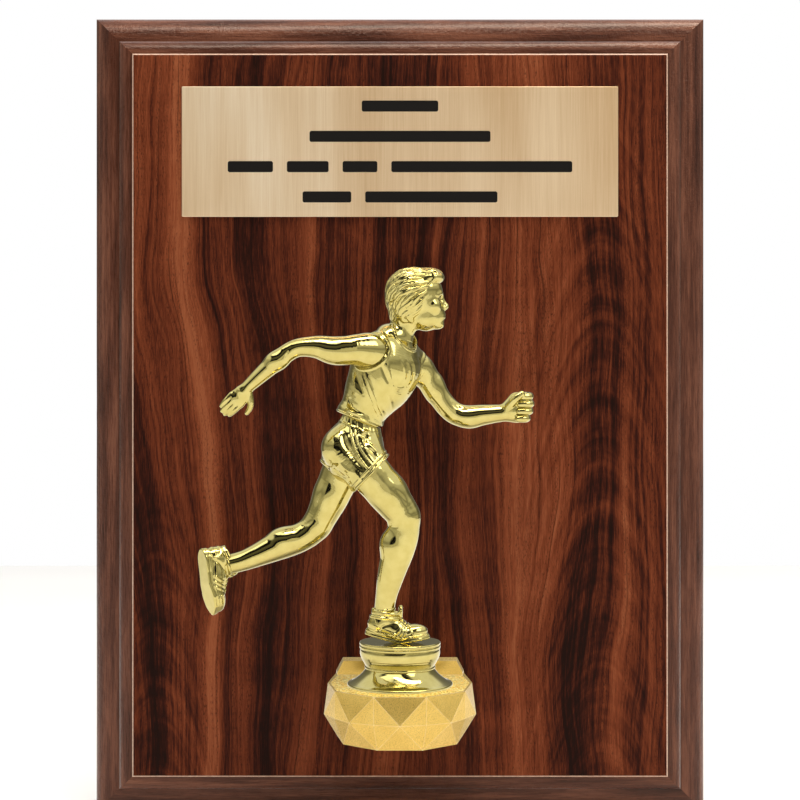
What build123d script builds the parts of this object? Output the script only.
"""Figure trophy plaque: a moulded-edge wooden board with a nameplate, a faceted shelf and a runner figure on a pedestal.

Frame: +X to the viewer's right, +Y towards the wall, +Z up. The origin is the centre of the board's back face.
Millimetres. The figure's own sizes are given from the pedestal's axis, at the height of the shelf's top.
"""

import math
import os

from build123d import *

# Board
BOARD_WIDTH = 178.0
BOARD_HEIGHT = 232.0
CORE_DEPTH = 15.3
VENEER_DEPTH = 0.7
PANEL_MARGIN = 12.3
EDGE_SIDE_DEPTH = 6.5
EDGE_ROUND = (7.6, 5.3)
EDGE_COVE = (3.8, 2.8)
EDGE_LEDGE = 0.4
VENEER_BEVEL = 0.45
PANEL_Y = -(CORE_DEPTH + VENEER_DEPTH)

# Nameplate
PLATE_WIDTH = 125.4
PLATE_HEIGHT = 37.4
PLATE_DEPTH = 0.6
PLATE_Z = 75.8
TAPE_DEPTH = 0.15
ENGRAVING_DEPTH = 0.2
ENGRAVED_ROWS = ((22.0,), (52.0,), (13.0, 12.0, 10.0, 52.0), (14.0, 38.0))
ROW_PITCH = 8.7
BAR_HEIGHT = 3.2
WORD_GAP = 4.0

# Keyhole hanger
HANGER_Z = 92.0
HANGER_SIZE = (44.0, 24.0, 1.2)
KEYHOLE_ENTRY_RADIUS = 4.5
KEYHOLE_SLOT_RADIUS = 2.1
KEYHOLE_DROP = 4.0
KEYHOLE_RISE = 9.0
KEYHOLE_POCKET_DEPTH = 8.5
HANGER_SCREW_X = 17.0
HANGER_SCREW_RADIUS = 1.4
HANGER_SCREW_LENGTH = 11.0
HANGER_HEAD_RADIUS = 2.5

# Shelf
SHELF_REACH = 20.5
SHELF_TOP_Z = -74.0
RIM_RADIUS = 20.3
GIRDLE_RADIUS = 21.1
GIRDLE_RIB_RADIUS = 20.4
FOOT_RADIUS = 17.7
GIRDLE_DROP = 7.3
SHELF_DEPTH = 14.5
FACET_STEP = 40.0
WALL_HALF_WIDTHS = (18.3, 18.8, 16.2)
BACK_LIP = (4.0, 4.4, 1.9, 0.8)
SHELF_SKIN = 2.4
SHELF_ROOF = 2.6
INSERT_DEPTH = 0.8
INSERT_MARGIN = 0.7
FIT_GAP = 0.05
BOSS_X = 10.5
BOSS_Z = -8.5
BOSS_RADIUS = 3.4
BOSS_LENGTH = 8.0
SHELF_SCREW_RADIUS = 1.6
SHELF_SCREW_LENGTH = 22.0
SHELF_HEAD = (3.6, 2.2)
SHELF_HEAD_SINK = 2.6

# Pedestal and its screw
PEDESTAL_FOOT_RADIUS = 14.5
PEDESTAL_WAIST_RADIUS = 9.35
PEDESTAL_BOWL_RADIUS = 10.95
PEDESTAL_TOP_RADIUS = 11.1
PEDESTAL_HEIGHT = 12.0
PEDESTAL_SKIN = 1.5
NUT_BOSS_RADIUS = 6.0
NUT_ACROSS_FLATS = 8.0
NUT_DEPTH = 3.2
NUT_LIFT = 1.0
FIGURE_SCREW_RADIUS = 2.4
FIGURE_SCREW_REACH = 6.5
FIGURE_HEAD = (4.2, 2.6)
WASHER = (6.0, 1.0)
CLEARANCE = 0.15

# Runner: pegs that join its mouldings
PEG_RADIUS = 1.5
PEG_LENGTH = 3.0
SOLE_PEG_RADIUS = 1.0
SOLE_PEG_DEPTH = 1.2

FIGURE_Y = PANEL_Y - SHELF_REACH
AXIS_PLANE = Plane(origin=(0, FIGURE_Y, SHELF_TOP_Z))

# Runner's torso: it leans forward and turns its chest to the front
TORSO_LEAN = 22.0
CHEST_TURN = 46.0
ARMHOLE_REACH = 8.6
# Each station: x, z, half width along the shoulders, half depth, share of the chest's turn
TORSO_STATIONS = (
    (-11.0, 72.6, 6.9, 6.1, 0.10),
    (-10.0, 75.6, 7.0, 6.2, 0.25),
    (-7.9, 79.6, 8.6, 7.4, 0.60),
    (-5.8, 83.1, 9.6, 8.3, 0.85),
    (-4.1, 86.6, 10.0, 8.7, 1.00),
    (-2.7, 91.6, 9.2, 7.6, 1.00),
    (-1.3, 95.4, 6.4, 5.4, 1.00),
    (-0.9, 96.8, 3.4, 3.2, 1.00),
)
CHEST_CENTRE = (-1.9, 0.0, 89.4)
# Each station of a limb: x, y, z, half thickness seen from the side, half width across
NECK = ((-1.3, -0.2, 93.5, 3.9, 3.8), (0.5, -0.3, 97.5, 3.6, 3.6), (2.6, -0.4, 101.5, 4.2, 4.0))
HEAD = (
    (6.2, -0.6, 98.6, 3.0, 2.6),
    (5.6, -0.6, 100.6, 5.4, 4.4),
    (5.0, -0.6, 104.4, 7.4, 6.0),
    (4.4, -0.6, 108.6, 8.2, 6.6),
    (3.9, -0.6, 112.2, 7.2, 5.9),
    (3.8, -0.6, 114.4, 4.8, 4.1),
    (3.8, -0.6, 115.1, 2.6, 2.4),
)
NOSE = ((11.6, -0.6, 104.4, 1.0, 0.9), (12.0, -0.6, 105.6, 1.0, 0.7), (11.3, -0.6, 107.8, 0.7, 0.5))
WAIST = (-11.0, 0.0, 72.6)
HIPS = (
    (-10.8, 0.0, 73.0, 5.3, 6.4),
    (-11.6, 0.0, 68.5, 7.6, 7.6),
    (-12.6, 0.0, 64.6, 8.6, 8.4),
    (-12.8, 0.0, 60.6, 7.6, 8.2),
    (-12.6, 0.0, 57.8, 4.6, 6.4),
)
RIGHT_SHORTS_LEG = ((-10.9, -3.8, 63.2, 6.4, 5.0), (-7.9, -5.0, 58.3, 6.2, 5.4))
LEFT_SHORTS_LEG = ((-14.8, 3.8, 62.6, 6.2, 5.0), (-17.0, 5.1, 56.4, 5.9, 5.2))
RIGHT_LEG = (
    (-7.9, -5.0, 58.3, 5.6, 4.8),
    (-2.3, -4.9, 51.4, 5.1, 4.8),
    (1.2, -4.6, 46.4, 4.4, 4.4),
    (0.2, -4.3, 40.6, 4.5, 4.4),
    (-1.2, -3.6, 36.4, 4.3, 4.2),
    (-2.6, -2.6, 30.9, 3.7, 3.4),
    (-4.1, -1.4, 22.7, 2.8, 2.7),
    (-4.4, -1.0, 19.0, 3.0, 2.8),
)
LEFT_LEG = (
    (-17.0, 5.1, 56.4, 5.3, 4.8),
    (-18.3, 5.2, 53.6, 5.1, 4.8),
    (-19.7, 5.3, 50.6, 4.8, 4.7),
    (-21.3, 5.4, 47.2, 4.5, 4.5),
    (-23.3, 5.5, 43.6, 4.1, 4.2),
    (-26.6, 5.5, 40.7, 3.9, 4.0),
    (-30.6, 5.2, 39.2, 4.1, 4.1),
    (-35.2, 4.8, 37.4, 3.8, 3.8),
    (-39.6, 4.4, 35.4, 3.2, 3.2),
    (-43.7, 4.0, 33.6, 2.75, 2.7),
    (-48.0, 4.0, 32.6, 3.0, 2.8),
)
RIGHT_ARM = (
    (-10.2, -8.1, 93.0, 4.2, 3.7),
    (-14.5, -9.6, 92.6, 3.9, 3.6),
    (-19.5, -10.6, 92.1, 3.3, 3.2),
    (-28.0, -11.2, 92.4, 2.5, 2.5),
    (-34.8, -11.0, 87.6, 2.35, 2.3),
    (-41.2, -10.4, 81.9, 1.75, 1.75),
)
RIGHT_HAND = (
    (-41.2, -10.4, 81.9, 1.75, 1.6),
    (-43.4, -10.2, 79.6, 3.0, 1.6),
    (-45.6, -10.0, 76.9, 3.1, 1.4),
    (-47.4, -9.8, 74.6, 1.9, 1.1),
)
RIGHT_THUMB = ((-41.6, -10.2, 80.2, 1.0, 1.0), (-40.8, -9.9, 77.4, 0.9, 0.9), (-41.6, -9.7, 75.4, 0.7, 0.7))
LEFT_ARM = (
    (6.3, 8.1, 86.4, 3.7, 3.6),
    (10.4, 9.2, 79.9, 3.1, 3.1),
    (14.6, 9.9, 75.2, 2.8, 2.9),
    (18.6, 9.6, 74.1, 3.0, 2.9),
    (23.4, 8.8, 74.3, 2.7, 2.6),
    (28.0, 8.1, 74.8, 2.2, 2.2),
    (31.0, 7.8, 75.4, 2.2, 2.2),
)
FIST_CENTRE = (32.9, 7.6, 76.2)
FIST_SIZE = (7.6, 6.0, 8.0)
SHOULDER_RADIUS = 4.0
SHOE_WIDTH = 6.4
SHOE_FILLET = 1.1
# Shoe outlines in profile, x and z
RIGHT_SHOE = (
    (-9.4, 14.6), (-5.0, 12.6), (-1.6, 12.0), (4.6, 12.0), (8.3, 13.8),
    (6.8, 15.5), (2.0, 17.2), (0.2, 19.2), (-0.3, 21.8), (-8.0, 21.8), (-9.5, 18.0),
)
LEFT_SHOE = (
    (-51.5, 37.1), (-54.5, 36.6), (-55.8, 29.3), (-54.9, 22.9), (-52.6, 18.9),
    (-50.2, 21.3), (-48.6, 26.9), (-46.0, 29.8), (-46.6, 36.6),
)


def spot(x, y, z):
    """A point given from the pedestal's axis and the shelf's top, in the part's frame."""
    return Vector(x, FIGURE_Y + y, SHELF_TOP_Z + z)


def save(part, name):
    part.label = name
    export_step(part, f"parts/{name}.step")


# ---------------------------------------------------------------- board


def edge_profile(half_length):
    """Half outline of the board's section, with the ogee edge, for a sketch plane whose Y is the part's Y."""
    round_x, round_y = EDGE_ROUND
    cove_x, cove_y = EDGE_COVE
    crest = -half_length + round_x
    crest_y = -EDGE_SIDE_DEPTH - round_y
    ledge_x = crest + cove_x
    ledge_y = crest_y - cove_y
    with BuildLine() as outline:
        Line((0, 0), (-half_length, 0))
        Line((-half_length, 0), (-half_length, -EDGE_SIDE_DEPTH))
        EllipticalCenterArc((crest, -EDGE_SIDE_DEPTH), round_x, round_y, start_angle=180, arc_size=90)
        EllipticalCenterArc((ledge_x, crest_y), cove_x, cove_y, start_angle=180, arc_size=90)
        Polyline(
            (ledge_x, ledge_y),
            (ledge_x + EDGE_LEDGE, ledge_y),
            (ledge_x + EDGE_LEDGE, -CORE_DEPTH),
            (0, -CORE_DEPTH),
            (0, 0),
        )
    return outline.line


def screw_spots():
    """Where the two shelf screws pass through the board, on its back plane."""
    return [Vector(side * BOSS_X, 0, SHELF_TOP_Z + BOSS_Z) for side in (-1, 1)]


def make_board():
    """The board's core: both edge profiles crossed, so the corners mitre; with the hanger's recess and screw holes."""
    upright = Plane(origin=(0, 0, 0), x_dir=(1, 0, 0), z_dir=(0, 0, 1))
    sideways = Plane(origin=(0, 0, 0), x_dir=(0, 0, 1), z_dir=(-1, 0, 0))
    back = Plane(origin=(0, 0, 0), x_dir=(-1, 0, 0), z_dir=(0, 1, 0))
    across_profile = edge_profile(BOARD_WIDTH / 2)
    upright_profile = edge_profile(BOARD_HEIGHT / 2)
    with BuildPart() as board:
        with BuildSketch(upright):
            make_face(across_profile.edges())
            mirror(about=Plane.YZ)
        extrude(amount=BOARD_HEIGHT / 2, both=True)
        with BuildSketch(sideways):
            make_face(upright_profile.edges())
            mirror(about=Plane.YZ)
        extrude(amount=BOARD_WIDTH / 2, both=True, mode=Mode.INTERSECT)
        with BuildSketch(back):
            with Locations((0, HANGER_Z)):
                RectangleRounded(HANGER_SIZE[0] + 2 * FIT_GAP, HANGER_SIZE[1] + 2 * FIT_GAP, 3 + FIT_GAP)
        extrude(amount=-HANGER_SIZE[2], mode=Mode.SUBTRACT)
        with BuildSketch(back):
            with Locations((0, HANGER_Z)):
                SlotCenterToCenter(
                    KEYHOLE_RISE + 4, 2 * KEYHOLE_ENTRY_RADIUS + 3, rotation=90
                )
        extrude(amount=-KEYHOLE_POCKET_DEPTH, mode=Mode.SUBTRACT)
        with BuildSketch(back):
            with Locations(*[(side * HANGER_SCREW_X, HANGER_Z) for side in (-1, 1)]):
                Circle(HANGER_SCREW_RADIUS + FIT_GAP)
        extrude(amount=-HANGER_SCREW_LENGTH, mode=Mode.SUBTRACT)
        for place in screw_spots():
            with Locations(Plane(origin=place, z_dir=(0, 1, 0))):
                CounterBoreHole(
                    SHELF_SCREW_RADIUS + CLEARANCE, SHELF_HEAD[0] + 2 * CLEARANCE, SHELF_HEAD_SINK, depth=CORE_DEPTH
                )
    return board.part


def make_face_veneer():
    """The wood-grain face sheet, with a bevelled edge all round."""
    half_width = BOARD_WIDTH - 2 * PANEL_MARGIN
    half_height = BOARD_HEIGHT - 2 * PANEL_MARGIN
    front = Plane(origin=(0, -CORE_DEPTH, 0), x_dir=(1, 0, 0), z_dir=(0, -1, 0))
    with BuildPart() as veneer:
        with BuildSketch(front):
            Rectangle(half_width + 2 * VENEER_BEVEL, half_height + 2 * VENEER_BEVEL)
        extrude(amount=VENEER_DEPTH)
        chamfer(veneer.faces().sort_by(Axis.Y)[0].edges(), VENEER_BEVEL)
        with BuildSketch(front):
            with Locations(*[(place.X, place.Z) for place in screw_spots()]):
                Circle(SHELF_SCREW_RADIUS + CLEARANCE)
        extrude(amount=VENEER_DEPTH, mode=Mode.SUBTRACT)
    return veneer.part


# ---------------------------------------------------------------- nameplate


def bar_places():
    """Centre x, row z and length of every engraved bar, row by row, each row centred on the plate."""
    places = []
    for row, bars in enumerate(ENGRAVED_ROWS):
        z = (1.5 - row) * ROW_PITCH
        x = -(sum(bars) + WORD_GAP * (len(bars) - 1)) / 2
        for length in bars:
            places.append((x + length / 2, z, length))
            x += length + WORD_GAP
    return places


def plate_plane(depth):
    """Plane facing the front, at that depth in front of the panel, centred on the nameplate."""
    return Plane(origin=(0, PANEL_Y - depth, PLATE_Z), x_dir=(1, 0, 0), z_dir=(0, -1, 0))


def make_nameplate_tape():
    with BuildPart() as tape:
        with BuildSketch(plate_plane(0)):
            Rectangle(PLATE_WIDTH - 3, PLATE_HEIGHT - 3)
        extrude(amount=TAPE_DEPTH)
    return tape.part


def bar_sketch(margin=0.0):
    for x, z, length in bar_places():
        with Locations((x, z)):
            RectangleRounded(length - 2 * margin, BAR_HEIGHT - 2 * margin, 0.6)


def make_nameplate():
    """The engraved plate: bars stand for the engraved words."""
    front = plate_plane(TAPE_DEPTH + PLATE_DEPTH)
    with BuildPart() as plate:
        with BuildSketch(plate_plane(TAPE_DEPTH)):
            RectangleRounded(PLATE_WIDTH, PLATE_HEIGHT, 0.3)
        extrude(amount=PLATE_DEPTH)
        chamfer(plate.faces().sort_by(Axis.Y)[0].edges(), 0.15)
        with BuildSketch(front):
            bar_sketch()
        extrude(amount=-ENGRAVING_DEPTH, mode=Mode.SUBTRACT)
    return plate.part


def make_engraving_fill():
    """Black fill lying in the engraved bars, just below the plate's face."""
    floor = plate_plane(TAPE_DEPTH + PLATE_DEPTH - ENGRAVING_DEPTH)
    with BuildPart() as fill:
        with BuildSketch(floor):
            bar_sketch(margin=0.01)
        extrude(amount=ENGRAVING_DEPTH - FIT_GAP)
    return fill.part


# ---------------------------------------------------------------- hanger and screws


def make_hanger_plate():
    """Steel keyhole plate, flush with the board's back."""
    back = Plane(origin=(0, 0, HANGER_Z), x_dir=(-1, 0, 0), z_dir=(0, 1, 0))
    with BuildPart() as plate:
        with BuildSketch(back):
            RectangleRounded(HANGER_SIZE[0], HANGER_SIZE[1], 3)
            with Locations((0, -KEYHOLE_DROP)):
                Circle(KEYHOLE_ENTRY_RADIUS, mode=Mode.SUBTRACT)
            with Locations((0, -KEYHOLE_DROP + KEYHOLE_RISE / 2)):
                SlotCenterToCenter(KEYHOLE_RISE, 2 * KEYHOLE_SLOT_RADIUS, rotation=90, mode=Mode.SUBTRACT)
        extrude(amount=-HANGER_SIZE[2])
        for side in (-1, 1):
            with Locations(Plane(origin=(side * HANGER_SCREW_X, 0, HANGER_Z), z_dir=(0, 1, 0))):
                CounterSinkHole(HANGER_SCREW_RADIUS + FIT_GAP, HANGER_HEAD_RADIUS, depth=HANGER_SIZE[2])
    return plate.part


def make_hanger_screws():
    """Two countersunk screws, each turned from its section, with a cross recess."""
    head = HANGER_HEAD_RADIUS - FIT_GAP
    cone = head - HANGER_SCREW_RADIUS
    with BuildPart() as screws:
        for side in (-1, 1):
            with BuildSketch(Plane(origin=(side * HANGER_SCREW_X, -FIT_GAP, HANGER_Z))):
                with BuildLine():
                    Polyline(
                        (0, 0),
                        (head, 0),
                        (HANGER_SCREW_RADIUS, -cone),
                        (HANGER_SCREW_RADIUS, -HANGER_SCREW_LENGTH + 2),
                        (0, -HANGER_SCREW_LENGTH + 0.3),
                        close=True,
                    )
                make_face()
            revolve(axis=Axis((side * HANGER_SCREW_X, 0, HANGER_Z), (0, 1, 0)))
        with BuildSketch(Plane(origin=(0, -FIT_GAP, HANGER_Z), x_dir=(-1, 0, 0), z_dir=(0, 1, 0))):
            with Locations((-HANGER_SCREW_X, 0), (HANGER_SCREW_X, 0)):
                Rectangle(2.6, 0.6)
                Rectangle(0.6, 2.6)
        extrude(amount=-0.8, mode=Mode.SUBTRACT)
    return screws.part


def make_shelf_screws():
    """Two pan-head screws driven through the board from behind, into the shelf's bosses."""
    head_radius, head_depth = SHELF_HEAD
    seat = -SHELF_HEAD_SINK
    with BuildPart() as screws:
        for place in screw_spots():
            with BuildSketch(Plane(origin=place)):
                with BuildLine():
                    Polyline(
                        (0, seat + head_depth),
                        (head_radius - 0.8, seat + head_depth),
                        (head_radius, seat + head_depth - 0.8),
                        (head_radius, seat),
                        (SHELF_SCREW_RADIUS, seat),
                        (SHELF_SCREW_RADIUS, seat - SHELF_SCREW_LENGTH + 2),
                        (0, seat - SHELF_SCREW_LENGTH + 0.2),
                        close=True,
                    )
                make_face()
            revolve(axis=Axis(place, (0, 1, 0)))
            recess = Plane(origin=place + Vector(0, seat + head_depth, 0), x_dir=(-1, 0, 0), z_dir=(0, 1, 0))
            with BuildSketch(recess):
                Rectangle(4.2, 0.9)
                Rectangle(0.9, 4.2)
            extrude(amount=-1.2, mode=Mode.SUBTRACT)
    return screws.part


# ---------------------------------------------------------------- shelf


def ring_point(angle, radius, z):
    """A point of the shelf's faceted front, by its angle from straight ahead."""
    turn = math.radians(angle)
    return spot(radius * math.sin(turn), -radius * math.cos(turn), z)


def wall_point(side, level, z):
    return spot(side * WALL_HALF_WIDTHS[level], SHELF_REACH, z)


def shelf_rings():
    """The rim, girdle and foot of the gem, each from the wall's left corner round the front to its right corner."""
    corners = [FACET_STEP * (i - 2.5) for i in range(6)]
    tips = [FACET_STEP * (i - 2) for i in range(5)]
    rim = [wall_point(-1, 0, 0)] + [ring_point(a, RIM_RADIUS, 0) for a in corners] + [wall_point(1, 0, 0)]
    girdle = [ring_point(a, GIRDLE_RIB_RADIUS, -GIRDLE_DROP) for a in corners]
    girdle = [wall_point(-1, 1, -GIRDLE_DROP)] + girdle + [wall_point(1, 1, -GIRDLE_DROP)]
    tip = [ring_point(a, GIRDLE_RADIUS, -GIRDLE_DROP) for a in tips]
    foot = [ring_point(a, FOOT_RADIUS, -SHELF_DEPTH) for a in corners]
    foot = [wall_point(-1, 2, -SHELF_DEPTH)] + foot + [wall_point(1, 2, -SHELF_DEPTH)]
    return rim, girdle, tip, foot


def gem_facets():
    """Corner lists of every facet of the shelf's outside, before its back lip and hollow."""
    rim, girdle, tip, foot = shelf_rings()
    facets = [rim, foot]
    for i, point in enumerate(tip):
        left, right = i + 1, i + 2
        facets += [
            [rim[left], rim[right], point],
            [rim[left], point, girdle[left]],
            [rim[right], girdle[right], point],
            [foot[left], girdle[left], point],
            [foot[right], point, girdle[right]],
            [foot[left], point, foot[right]],
        ]
    for wall, front in ((0, 1), (7, 6)):
        facets += [
            [rim[wall], rim[front], girdle[wall]],
            [rim[front], girdle[front], girdle[wall]],
            [girdle[wall], girdle[front], foot[front]],
            [girdle[wall], foot[front], foot[wall]],
        ]
    facets.append([rim[0], girdle[0], foot[0], foot[7], girdle[7], rim[7]])
    return facets


def make_shelf():
    """The faceted shelf, hollow from below, with a raised back lip, two screw bosses and a seat for the top insert."""
    gem = Solid(Shell([Face(Wire.make_polygon(facet, close=True)) for facet in gem_facets()]))
    rim, _, _, foot = shelf_rings()
    lip_depth, lip_height, lip_cut, lip_side = BACK_LIP
    side = WALL_HALF_WIDTHS[0]
    wall_plane = Plane(origin=spot(0, SHELF_REACH, 0), x_dir=(1, 0, 0), z_dir=(0, -1, 0))
    inner_wall = SHELF_REACH - SHELF_SKIN
    with BuildPart() as shelf:
        add(gem)
        with BuildSketch(wall_plane):
            with BuildLine():
                Polyline(
                    (-side, -2), (-side, lip_side), (-side + lip_cut, lip_height), (side - lip_cut, lip_height),
                    (side, lip_side), (side, -2), close=True,
                )
            make_face()
        extrude(amount=lip_depth, taper=6)
        # hollow, open below
        for ring, z, share in ((rim, -SHELF_ROOF, 0.86), (foot, -SHELF_DEPTH - 0.01, 0.83)):
            corners = [(p.X * share, min((p.Y - FIGURE_Y) * share, inner_wall)) for p in ring]
            with BuildSketch(Plane(origin=spot(0, 0, z))):
                Polygon(*corners, align=None)
        loft(ruled=True, mode=Mode.SUBTRACT)
        # bosses for the shelf screws, carried by the back wall
        boss_plane = Plane(origin=spot(0, inner_wall + 0.5, BOSS_Z), x_dir=(1, 0, 0), z_dir=(0, -1, 0))
        with BuildSketch(boss_plane):
            with Locations((-BOSS_X, 0), (BOSS_X, 0)):
                Circle(BOSS_RADIUS)
        extrude(amount=BOSS_LENGTH)
        with BuildSketch(boss_plane):
            for x in (-BOSS_X, BOSS_X):
                with Locations((x, -BOSS_Z / 2 - 0.5)):
                    Rectangle(1.4, -BOSS_Z - 1)
        extrude(amount=BOSS_LENGTH - 1)
        with BuildSketch(wall_plane):
            with Locations((-BOSS_X, BOSS_Z), (BOSS_X, BOSS_Z)):
                Circle(SHELF_SCREW_RADIUS + FIT_GAP)
        extrude(amount=BOSS_LENGTH + SHELF_SKIN - 1.2, mode=Mode.SUBTRACT)
        # seat for the top insert, and the figure screw's hole
        with BuildSketch(Plane(origin=spot(0, 0, -INSERT_DEPTH))):
            Polygon(*insert_corners(0), align=None)
        extrude(amount=INSERT_DEPTH + 0.5, mode=Mode.SUBTRACT)
        with BuildSketch(Plane(origin=spot(0, 0, 0))):
            Circle(FIGURE_SCREW_RADIUS + CLEARANCE)
        extrude(amount=-SHELF_ROOF - 1, mode=Mode.SUBTRACT)
    return shelf.part


def insert_corners(gap):
    """The top insert's corners: the rim drawn in, and straight along the back lip."""
    share = 1 - (INSERT_MARGIN + gap) / RIM_RADIUS
    back = SHELF_REACH - BACK_LIP[0] - 0.4 - gap
    return [(p.X * share, min((p.Y - FIGURE_Y) * share, back)) for p in shelf_rings()[0]]


def make_shelf_insert():
    """The textured sheet let into the shelf's top, with the figure screw's hole."""
    with BuildPart() as sheet:
        with BuildSketch(Plane(origin=spot(0, 0, -INSERT_DEPTH))):
            Polygon(*insert_corners(FIT_GAP), align=None)
            Circle(FIGURE_SCREW_RADIUS + CLEARANCE, mode=Mode.SUBTRACT)
        extrude(amount=INSERT_DEPTH)
    return sheet.part


# ---------------------------------------------------------------- pedestal, nut, screw, washer


def make_pedestal():
    """The hollow spool under the runner: flared foot, waist bead, bowl and grooved top lip, with a nut boss inside."""
    foot, waist, bowl, top = (
        PEDESTAL_FOOT_RADIUS,
        PEDESTAL_WAIST_RADIUS,
        PEDESTAL_BOWL_RADIUS,
        PEDESTAL_TOP_RADIUS,
    )
    section = Plane(origin=spot(0, 0, 0), x_dir=(1, 0, 0), z_dir=(0, -1, 0))
    with BuildPart() as pedestal:
        with BuildSketch(section):
            with BuildLine():
                Line((0, 0), (foot, 0))
                Line((foot, 0), (foot, 0.7))
                Spline((foot, 0.7), (11.6, 2.5), (waist, 4.6), tangents=((-1, 0.35), (-0.55, 1)))
                ThreePointArc((waist, 4.6), (waist + 0.35, 4.95), (waist + 0.1, 5.35))
                Spline((waist + 0.1, 5.35), (10.45, 7.6), (bowl, 10.2), tangents=((0.5, 1), (0.05, 1)))
                Polyline(
                    (bowl, 10.2),
                    (top, 10.35),
                    (top, 11.0),
                    (top - 0.25, 11.2),
                    (top, 11.4),
                    (top, PEDESTAL_HEIGHT - 0.2),
                    (top - 0.2, PEDESTAL_HEIGHT),
                    (0, PEDESTAL_HEIGHT),
                    (0, 0),
                )
            make_face()
        revolve(axis=Axis(spot(0, 0, 0), (0, 0, 1)))
        # ring-shaped hollow between the skin and the nut boss, open below
        with BuildSketch(section):
            with BuildLine():
                Polyline(
                    (NUT_BOSS_RADIUS, 0),
                    (foot - PEDESTAL_SKIN, 0),
                    (waist - PEDESTAL_SKIN, 4.2),
                    (waist - PEDESTAL_SKIN, 5.4),
                    (bowl - PEDESTAL_SKIN, 9.8),
                    (bowl - PEDESTAL_SKIN, PEDESTAL_HEIGHT - 1.9),
                    (NUT_BOSS_RADIUS, PEDESTAL_HEIGHT - 1.9),
                    close=True,
                )
            make_face()
        revolve(axis=Axis(spot(0, 0, 0), (0, 0, 1)), mode=Mode.SUBTRACT)
        # hexagonal seat for the nut, with room above it for the screw's tip
        with BuildSketch(AXIS_PLANE):
            RegularPolygon(NUT_ACROSS_FLATS / 2 + FIT_GAP, 6, major_radius=False)
        extrude(amount=NUT_LIFT + NUT_DEPTH, mode=Mode.SUBTRACT)
        with BuildSketch(AXIS_PLANE):
            Circle(FIGURE_SCREW_RADIUS + CLEARANCE)
        extrude(amount=PEDESTAL_HEIGHT - 3.5, mode=Mode.SUBTRACT)
        # holes in the top for the pegs under the right shoe
        with BuildSketch(Plane(origin=spot(0, 0, PEDESTAL_HEIGHT))):
            with Locations(*[(p.X, p.Y - FIGURE_Y) for p in sole_peg_spots()]):
                Circle(SOLE_PEG_RADIUS + FIT_GAP)
        extrude(amount=-SOLE_PEG_DEPTH - FIT_GAP, mode=Mode.SUBTRACT)
    return pedestal.part


def make_pedestal_nut():
    with BuildPart() as nut:
        with BuildSketch(Plane(origin=spot(0, 0, NUT_LIFT))):
            RegularPolygon(NUT_ACROSS_FLATS / 2, 6, major_radius=False)
            Circle(FIGURE_SCREW_RADIUS + FIT_GAP / 2, mode=Mode.SUBTRACT)
        extrude(amount=NUT_DEPTH)
    return nut.part


def make_figure_washer():
    radius, depth = WASHER
    with BuildPart() as washer:
        with BuildSketch(Plane(origin=spot(0, 0, -SHELF_ROOF))):
            Circle(radius)
            Circle(FIGURE_SCREW_RADIUS + CLEARANCE, mode=Mode.SUBTRACT)
        extrude(amount=-depth)
    return washer.part


def make_figure_screw():
    """Machine screw up through the shelf into the pedestal's nut, with a cross-recessed pan head."""
    head_radius, head_depth = FIGURE_HEAD
    seat = -SHELF_ROOF - WASHER[1]
    with BuildPart() as screw:
        with BuildSketch(Plane(origin=spot(0, 0, seat))):
            Circle(head_radius)
        extrude(amount=-head_depth)
        fillet(screw.edges().sort_by(Axis.Z)[0], 0.9)
        with BuildSketch(Plane(origin=spot(0, 0, seat))):
            Circle(FIGURE_SCREW_RADIUS)
        extrude(amount=FIGURE_SCREW_REACH - seat)
        chamfer(screw.edges().sort_by(Axis.Z)[-1], 0.5)
        with BuildSketch(Plane(origin=spot(0, 0, seat - head_depth))):
            Rectangle(4.6, 0.9)
            Rectangle(0.9, 4.6)
        extrude(amount=1.3, mode=Mode.SUBTRACT)
    return screw.part


# ---------------------------------------------------------------- runner


def across(way, lead=Vector(0, 1, 0)):
    """Unit vector square to the way a limb runs, as near as can be to the lead."""
    return (lead - way * way.dot(lead)).normalized()


def oval(half_width, half_depth):
    """A closed oval on the current line, in four quarters."""
    for quarter in range(4):
        EllipticalCenterArc((0, 0), half_width, half_depth, start_angle=90 * quarter, arc_size=90)


def limb(stations, first_way=None, last_way=None):
    """A limb lofted through ovals that stand square to its line, or to a given way at either end."""
    centres = [spot(*station[:3]) for station in stations]
    with BuildPart() as made:
        for i, station in enumerate(stations):
            way = (centres[min(i + 1, len(centres) - 1)] - centres[max(i - 1, 0)]).normalized()
            if first_way and i == 0:
                way = first_way
            if last_way and i == len(stations) - 1:
                way = last_way
            with BuildSketch(Plane(origin=centres[i], x_dir=across(way), z_dir=way)):
                with BuildLine():
                    oval(station[4], station[3])
                make_face()
        loft()
    return made.part


def torso_axes(turn):
    """Up along the torso, and across the shoulders, for that turn of the chest."""
    lean = math.radians(TORSO_LEAN)
    twist = math.radians(turn)
    up = Vector(math.sin(lean), 0, math.cos(lean))
    ahead = Vector(math.cos(lean), 0, -math.sin(lean))
    shoulders = ahead * math.sin(twist) + Vector(0, 1, 0) * math.cos(twist)
    return up, shoulders


def armhole_plane(side):
    """Plane of an armhole, facing out of the torso. Side is -1 for the right arm and 1 for the left."""
    _, shoulders = torso_axes(CHEST_TURN)
    out = shoulders * side
    return Plane(origin=spot(*CHEST_CENTRE) + out * ARMHOLE_REACH, z_dir=out)


def start_plane(stations):
    """Plane of a limb's first section, facing along the limb."""
    first, second = spot(*stations[0][:3]), spot(*stations[1][:3])
    return Plane(origin=first, z_dir=(second - first).normalized())


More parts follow.
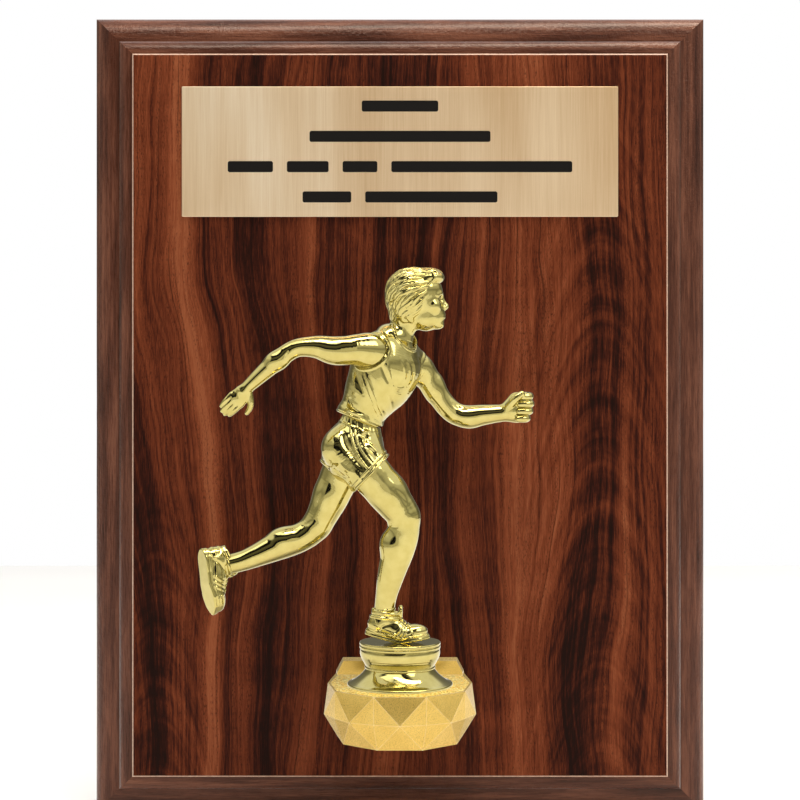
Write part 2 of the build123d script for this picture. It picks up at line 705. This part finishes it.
def peg(plane, gap=0.0):
    """A peg standing back from a limb's end plane into its neighbour; with a gap, the socket that takes it."""
    with BuildPart() as made:
        with BuildSketch(plane):
            Circle(PEG_RADIUS + gap)
        extrude(amount=-PEG_LENGTH - gap)
    return made.part


def make_torso():
    """Head, neck and tank top in one moulding, flat at the armholes, with sockets for the arms."""
    up, _ = torso_axes(0)
    with BuildPart() as torso:
        for x, z, half_width, half_depth, share in TORSO_STATIONS:
            _, shoulders = torso_axes(CHEST_TURN * share)
            with BuildSketch(Plane(origin=spot(x, 0, z), x_dir=shoulders, z_dir=up)):
                with BuildLine():
                    oval(half_width, half_depth)
                make_face()
        loft()
        add(limb(NECK))
        add(limb(HEAD))
        add(limb(NOSE))
        for side in (-1, 1):
            plane = armhole_plane(side)
            split(bisect_by=plane, keep=Keep.BOTTOM)
            add(peg(plane, FIT_GAP), mode=Mode.SUBTRACT)
        add(peg(waist_plane()))
    return torso.part


def waist_plane():
    """Plane between tank top and shorts, facing up along the torso."""
    up, _ = torso_axes(0)
    return Plane(origin=spot(*WAIST), z_dir=up)


def make_shorts():
    """The shorts: hips and two short legs, open to pegs at the waist and both hems."""
    with BuildPart() as shorts:
        add(limb(HIPS))
        add(limb(RIGHT_SHORTS_LEG, last_way=start_plane(RIGHT_LEG).z_dir))
        add(limb(LEFT_SHORTS_LEG, last_way=start_plane(LEFT_LEG).z_dir))
        split(bisect_by=waist_plane(), keep=Keep.BOTTOM)
        add(peg(waist_plane(), FIT_GAP), mode=Mode.SUBTRACT)
        for stations in (RIGHT_LEG, LEFT_LEG):
            plane = start_plane(stations)
            add(peg(plane, FIT_GAP), mode=Mode.SUBTRACT)
    return shorts.part


def shoe(outline, middle):
    """A shoe extruded from its profile, rounded along both sides."""
    with BuildPart() as made:
        with BuildSketch(Plane(origin=spot(0, middle, 0), x_dir=(1, 0, 0), z_dir=(0, -1, 0))):
            with BuildLine():
                Polyline(*outline, close=True)
            make_face()
        extrude(amount=SHOE_WIDTH / 2, both=True)
        fillet(made.edges().filter_by(GeomType.LINE).filter_by(Axis.Y, reverse=True), SHOE_FILLET)
    return made.part


def sole_peg_spots():
    return [spot(x, RIGHT_LEG[-1][1], PEDESTAL_HEIGHT) for x in (0.0, 3.6)]


def make_right_leg():
    """The standing leg, with its shoe and the two pegs that fix it in the pedestal."""
    with BuildPart() as leg:
        add(limb(RIGHT_LEG))
        add(shoe(RIGHT_SHOE, RIGHT_LEG[-1][1]))
        add(peg(start_plane(RIGHT_LEG)))
        with BuildSketch(Plane(origin=spot(0, 0, PEDESTAL_HEIGHT))):
            with Locations(*[(p.X, p.Y - FIGURE_Y) for p in sole_peg_spots()]):
                Circle(SOLE_PEG_RADIUS)
        extrude(amount=-SOLE_PEG_DEPTH)
        with BuildSketch(Plane(origin=spot(0, 0, PEDESTAL_HEIGHT))):
            with Locations(*[(p.X, p.Y - FIGURE_Y) for p in sole_peg_spots()]):
                Circle(SOLE_PEG_RADIUS)
        extrude(amount=1.0)
    return leg.part


def make_left_leg():
    """The trailing leg with its shoe."""
    with BuildPart() as leg:
        add(limb(LEFT_LEG))
        add(shoe(LEFT_SHOE, LEFT_LEG[-1][1]))
        add(peg(start_plane(LEFT_LEG)))
    return leg.part


def make_arm(side, stations, hand):
    """An arm whose first section lies in the armhole, with a peg into the torso."""
    plane = armhole_plane(side)
    shoulder = spot(*stations[0][:3])
    root = shoulder - plane.z_dir * (shoulder - plane.origin).dot(plane.z_dir) - spot(0, 0, 0)
    root_station = (root.X, root.Y, root.Z, SHOULDER_RADIUS, SHOULDER_RADIUS)
    with BuildPart() as arm:
        add(limb((root_station,) + stations, first_way=plane.z_dir))
        for piece in hand:
            add(piece)
        add(peg(plane))
    return arm.part


def make_right_arm():
    return make_arm(-1, RIGHT_ARM, [limb(RIGHT_HAND), limb(RIGHT_THUMB)])


def make_left_arm():
    with BuildPart() as fist:
        with Locations(Location(spot(*FIST_CENTRE), (0, -8, 0))):
            Box(*FIST_SIZE)
        fillet(fist.edges(), 2.2)
    return make_arm(1, LEFT_ARM, [fist.part])


def main():
    os.makedirs("parts", exist_ok=True)
    save(make_board(), "board")
    save(make_face_veneer(), "face_veneer")
    save(make_nameplate(), "nameplate")
    save(make_nameplate_tape(), "nameplate_tape")
    save(make_engraving_fill(), "engraving_fill")
    save(make_hanger_plate(), "hanger_plate")
    save(make_hanger_screws(), "hanger_screws")
    save(make_shelf(), "shelf")
    save(make_shelf_insert(), "shelf_insert")
    save(make_shelf_screws(), "shelf_screws")
    save(make_pedestal(), "pedestal")
    save(make_pedestal_nut(), "pedestal_nut")
    save(make_figure_screw(), "figure_screw")
    save(make_figure_washer(), "figure_washer")
    save(make_torso(), "runner_torso")
    save(make_shorts(), "runner_shorts")
    save(make_right_leg(), "runner_right_leg")
    save(make_left_leg(), "runner_left_leg")
    save(make_right_arm(), "runner_right_arm")
    save(make_left_arm(), "runner_left_arm")


main()
